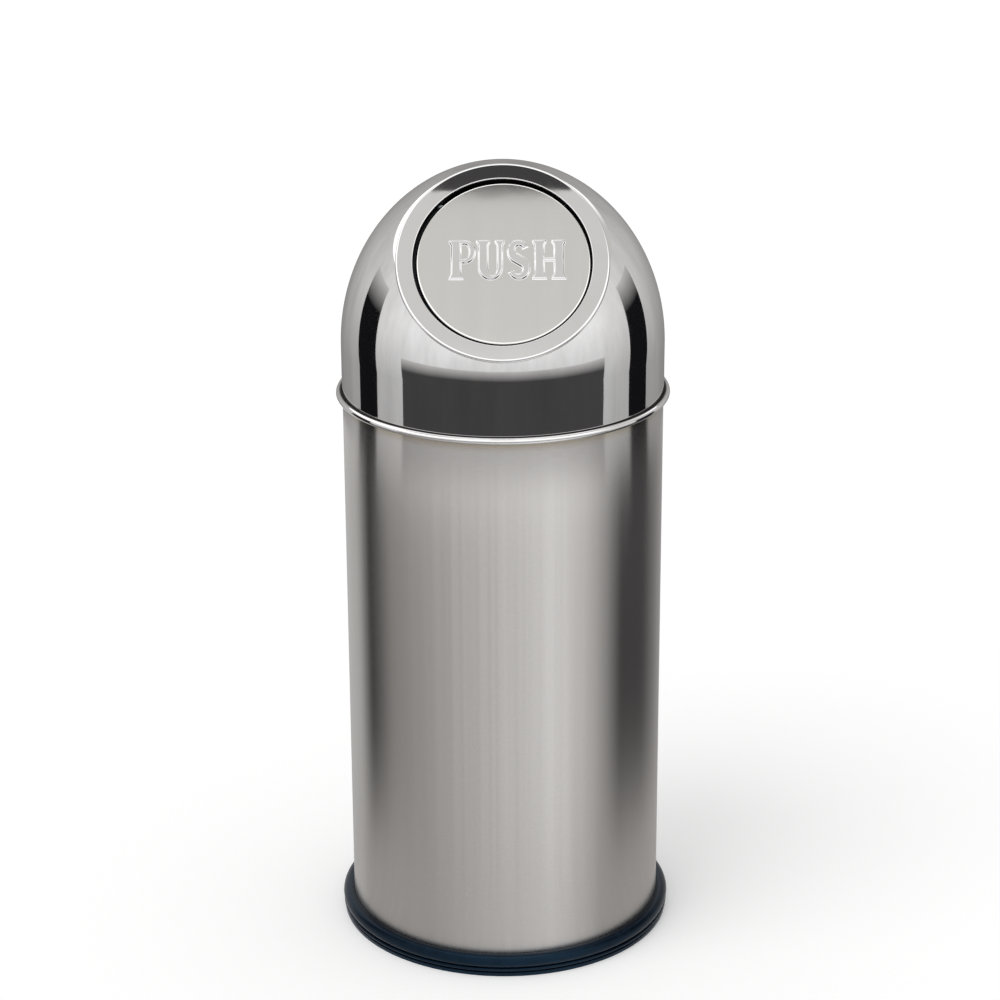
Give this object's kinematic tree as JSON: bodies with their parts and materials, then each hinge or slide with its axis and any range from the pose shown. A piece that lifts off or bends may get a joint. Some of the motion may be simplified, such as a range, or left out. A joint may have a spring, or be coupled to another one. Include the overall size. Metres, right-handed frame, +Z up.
{
  "type": "dome top push bin",
  "caption": "Upright round push bin: brushed tube on a rubber ring, lift-out liner with a bail, and a polished dome lid with a sprung round push flap.",
  "frame": {"origin": "on the floor, under the axis of the tube", "axes": "+Z up along the tube's axis, -Y towards the side that the push flap faces"},
  "size_m": [0.3212, 0.3212, 0.7567],
  "materials": {
    "brushed_steel": "brushed round the tube",
    "polished_steel": "mirror polished",
    "satin_steel": "satin with a polished edge",
    "zinc_sheet": "dull zinc",
    "plain_wire": "drawn wire",
    "spring_steel": "oiled spring steel",
    "black_rubber": "matt",
    "grip_plastic": "fine grain"
  },
  "bodies": {
    "body": {"body_tube": "brushed_steel", "base_plate": "zinc_sheet", "base_ring": "black_rubber"},
    "liner": {"liner_bucket": "zinc_sheet", "liner_bottom": "zinc_sheet", "rim_wire": "plain_wire", "liner_ears": "zinc_sheet", "ear_rivets": "plain_wire"},
    "bail": {"bail_handle": "plain_wire", "bail_grip": "grip_plastic"},
    "lid": {"dome_shell": "polished_steel", "lid_collar": "zinc_sheet", "flap_frame": "polished_steel", "frame_clips": "spring_steel", "hinge_brackets": "zinc_sheet", "hinge_rod": "plain_wire", "rod_caps": "spring_steel", "spring_left": "spring_steel", "spring_right": "spring_steel"},
    "flap": {"flap_disc": "satin_steel", "flap_back": "zinc_sheet", "flap_knuckles": "zinc_sheet", "knuckle_rivets": "plain_wire", "stop_buffers": "black_rubber"}
  },
  "joints": [
    {"name": "liner_lift", "type": "slide", "parent": "body", "child": "liner", "axis": [0, 0, 1], "range_m": [0, 0.53]},
    {"name": "bail_swing", "type": "hinge", "parent": "liner", "child": "bail", "pos_m": [0, 0, 0.42315], "axis": [1, 0, 0], "range_deg": [0, 174.8]},
    {"name": "lid_lift", "type": "slide", "parent": "liner", "child": "lid", "axis": [0, 0, 1], "range_m": [0, 0.15]},
    {"name": "flap_push", "type": "hinge", "parent": "lid", "child": "flap", "pos_m": [0, -0.04666, 0.72045], "axis": [1, 0, 0], "range_deg": [0, 65], "stiffness_Nm_per_rad": 0.15, "springref_deg": -85.94, "deforming": ["spring_left", "spring_right"]}
  ]
}
